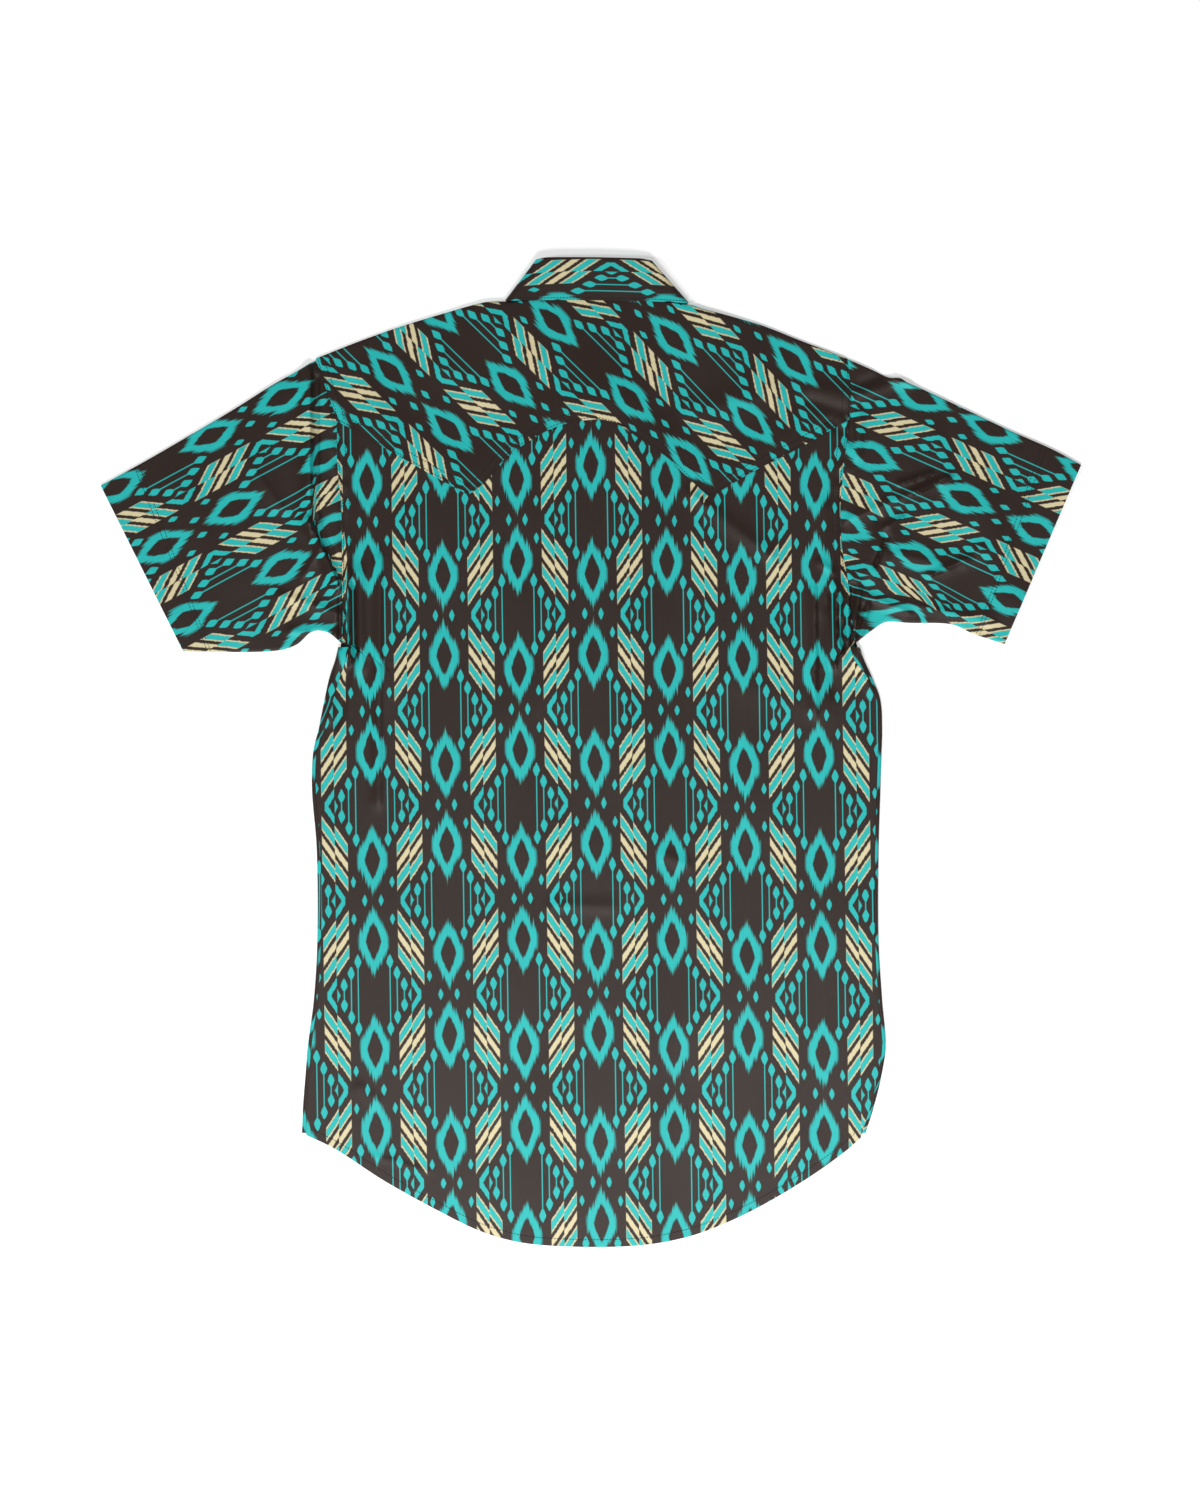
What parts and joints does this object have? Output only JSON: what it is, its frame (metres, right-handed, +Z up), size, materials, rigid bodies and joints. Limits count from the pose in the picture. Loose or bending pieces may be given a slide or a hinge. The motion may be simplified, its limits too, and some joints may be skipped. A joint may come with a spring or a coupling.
{
  "type": "western snap shirt",
  "caption": "Short-sleeved western shirt with a pointed back yoke, a stand collar with a leaf and a snap front, laid face down and flat.",
  "frame": {"origin": "centre of the shirt's outline seen from above, on the surface it lies on", "axes": "+X across the shirt to the right as its back is seen, +Y from the hem to the collar, +Z up from the surface, out of the back"},
  "size_m": [0.829, 0.835, 0.0107],
  "materials": {
    "printed_cloth": "woven, matt, printed",
    "yoke_cloth": "woven, matt, printed, cut across the print",
    "snap_pearl": "pearly, gloss"
  },
  "bodies": {
    "root": {"back": "printed_cloth", "yoke": "yoke_cloth", "front_left": "printed_cloth", "front_right": "printed_cloth", "placket": "printed_cloth", "sleeve_left": "printed_cloth", "sleeve_right": "printed_cloth", "collar_stand": "printed_cloth", "collar_leaf": "yoke_cloth", "snap_band": "snap_pearl", "snap_1": "snap_pearl", "snap_2": "snap_pearl", "snap_3": "snap_pearl", "snap_4": "snap_pearl", "snap_5": "snap_pearl", "snap_6": "snap_pearl", "snap_7": "snap_pearl"}
  },
  "joints": []
}
